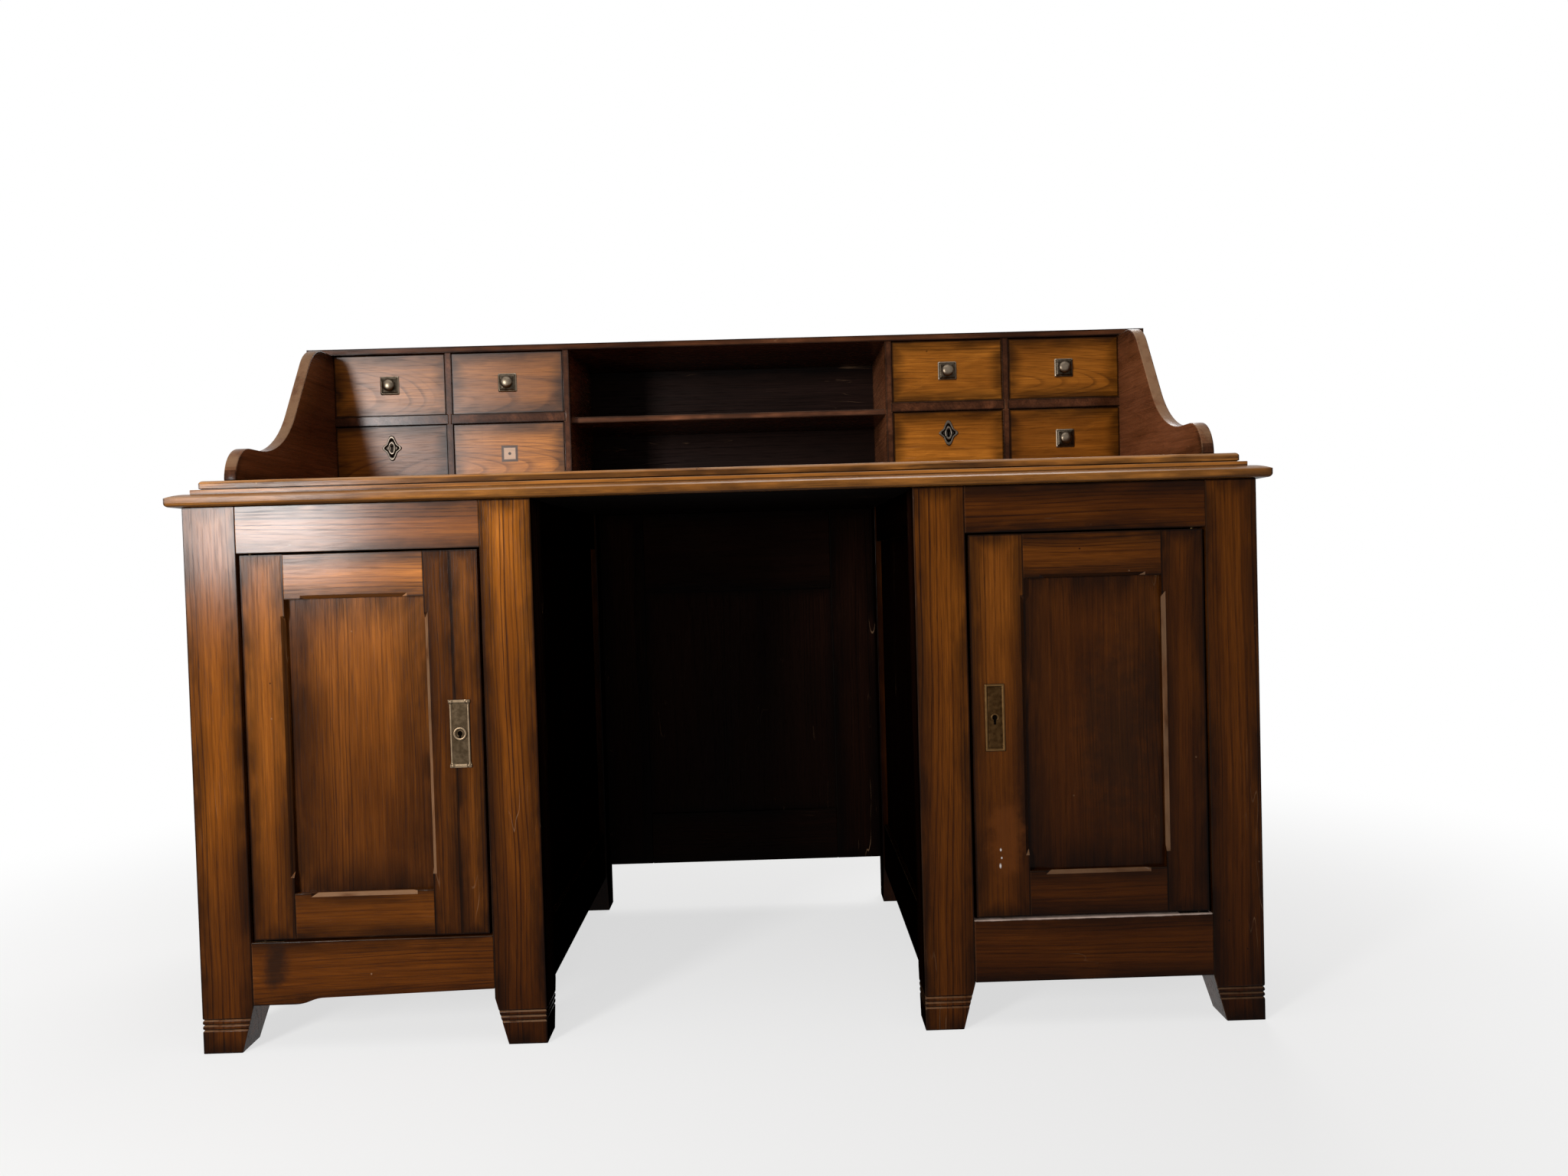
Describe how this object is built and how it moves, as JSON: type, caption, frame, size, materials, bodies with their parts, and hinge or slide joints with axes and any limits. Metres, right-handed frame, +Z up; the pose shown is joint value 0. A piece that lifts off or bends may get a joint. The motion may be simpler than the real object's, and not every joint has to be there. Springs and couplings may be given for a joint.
{
  "type": "pedestal writing desk",
  "caption": "Pedestal writing desk of stained wood with panelled cupboard doors, a kneehole, a moulded top and a low gallery of small drawers beside an open shelf.",
  "frame": {"origin": "on the floor under the middle of the desk top", "axes": "+Z up, the front with the doors and drawers faces -Y, +X to the right seen from the front"},
  "size_m": [1.482, 0.681, 1.0225],
  "materials": {
    "stained_wood": "dark stained, waxed, worn at the edges",
    "inner_wood": "plain, unfinished softwood, browned",
    "dark_brass": "dark bronzed brass, rubbed bright on the high spots",
    "lock_steel": "dull lock steel"
  },
  "bodies": {
    "carcass": {"top_board": "stained_wood", "top_moulding": "stained_wood", "gallery_left_side": "stained_wood", "gallery_right_side": "stained_wood", "gallery_top": "stained_wood", "gallery_dividers": "stained_wood", "gallery_drawer_shelves": "stained_wood", "gallery_shelf": "stained_wood", "left_front_posts": "stained_wood", "right_front_posts": "stained_wood", "rear_posts": "stained_wood", "left_front_rails": "stained_wood", "right_front_rails": "stained_wood", "left_side_rails": "stained_wood", "right_side_rails": "stained_wood", "left_outer_panel": "stained_wood", "left_inner_panel": "stained_wood", "right_inner_panel": "stained_wood", "right_outer_panel": "stained_wood", "kneehole_frame": "stained_wood", "kneehole_panel": "stained_wood", "gallery_back": "inner_wood", "gallery_base": "inner_wood", "back_rails": "inner_wood", "back_panels": "inner_wood", "pedestal_floors": "inner_wood", "pedestal_shelves": "inner_wood", "shelf_cleats": "inner_wood", "pivot_plates": "dark_brass"},
    "left_door": {"left_door_stiles": "stained_wood", "left_door_rails": "stained_wood", "left_door_panel": "stained_wood", "left_door_pivots": "dark_brass", "left_lock_plate": "dark_brass", "left_lock_case": "lock_steel"},
    "left_door_bolt": {"left_lock_bolt": "lock_steel"},
    "right_door": {"right_door_stiles": "stained_wood", "right_door_rails": "stained_wood", "right_door_panel": "stained_wood", "right_door_pivots": "dark_brass", "right_lock_plate": "dark_brass", "right_lock_case": "lock_steel"},
    "right_door_bolt": {"right_lock_bolt": "lock_steel"},
    "left_lower_inner_drawer_box": {"left_lower_inner_drawer": "stained_wood"},
    "left_upper_inner_drawer_box": {"left_upper_inner_drawer": "stained_wood", "left_upper_inner_knob": "dark_brass"},
    "left_drawer_lock_bolt": {"left_drawer_bolt": "lock_steel"},
    "left_lower_outer_drawer_box": {"left_lower_outer_drawer": "stained_wood", "left_drawer_lock": "dark_brass"},
    "left_upper_outer_drawer_box": {"left_upper_outer_drawer": "stained_wood", "left_upper_outer_knob": "dark_brass"},
    "right_drawer_lock_bolt": {"right_drawer_bolt": "lock_steel"},
    "right_lower_inner_drawer_box": {"right_lower_inner_drawer": "stained_wood", "right_drawer_lock": "dark_brass"},
    "right_upper_inner_drawer_box": {"right_upper_inner_drawer": "stained_wood", "right_upper_inner_knob": "dark_brass"},
    "right_lower_outer_drawer_box": {"right_lower_outer_drawer": "stained_wood", "right_lower_outer_knob": "dark_brass"},
    "right_upper_outer_drawer_box": {"right_upper_outer_drawer": "stained_wood", "right_upper_outer_knob": "dark_brass"}
  },
  "joints": [
    {"name": "left_door_swing", "type": "hinge", "parent": "carcass", "child": "left_door", "pos_m": [-0.6395, -0.3145, 0.414], "axis": [0, 0, -1], "range_deg": [0, 105]},
    {"name": "left_door_bolt_slide", "type": "slide", "parent": "left_door", "child": "left_door_bolt", "axis": [1, 0, 0], "range_m": [0, 0.009]},
    {"name": "right_door_swing", "type": "hinge", "parent": "carcass", "child": "right_door", "pos_m": [0.6395, -0.3145, 0.414], "axis": [0, 0, 1], "range_deg": [0, 105]},
    {"name": "right_door_bolt_slide", "type": "slide", "parent": "right_door", "child": "right_door_bolt", "axis": [-1, 0, 0], "range_m": [0, 0.009]},
    {"name": "left_lower_inner_drawer_slide", "type": "slide", "parent": "carcass", "child": "left_lower_inner_drawer_box", "axis": [0, -1, 0], "range_m": [0, 0.18]},
    {"name": "left_upper_inner_drawer_slide", "type": "slide", "parent": "carcass", "child": "left_upper_inner_drawer_box", "axis": [0, -1, 0], "range_m": [0, 0.18]},
    {"name": "left_drawer_bolt_slide", "type": "slide", "parent": "left_lower_outer_drawer_box", "child": "left_drawer_lock_bolt", "axis": [0, 0, 1], "range_m": [0, 0.007]},
    {"name": "left_lower_outer_drawer_slide", "type": "slide", "parent": "carcass", "child": "left_lower_outer_drawer_box", "axis": [0, -1, 0], "range_m": [0, 0.18]},
    {"name": "left_upper_outer_drawer_slide", "type": "slide", "parent": "carcass", "child": "left_upper_outer_drawer_box", "axis": [0, -1, 0], "range_m": [0, 0.18]},
    {"name": "right_drawer_bolt_slide", "type": "slide", "parent": "right_lower_inner_drawer_box", "child": "right_drawer_lock_bolt", "axis": [0, 0, 1], "range_m": [0, 0.007]},
    {"name": "right_lower_inner_drawer_slide", "type": "slide", "parent": "carcass", "child": "right_lower_inner_drawer_box", "axis": [0, -1, 0], "range_m": [0, 0.18]},
    {"name": "right_upper_inner_drawer_slide", "type": "slide", "parent": "carcass", "child": "right_upper_inner_drawer_box", "axis": [0, -1, 0], "range_m": [0, 0.18]},
    {"name": "right_lower_outer_drawer_slide", "type": "slide", "parent": "carcass", "child": "right_lower_outer_drawer_box", "axis": [0, -1, 0], "range_m": [0, 0.18]},
    {"name": "right_upper_outer_drawer_slide", "type": "slide", "parent": "carcass", "child": "right_upper_outer_drawer_box", "axis": [0, -1, 0], "range_m": [0, 0.18]}
  ]
}
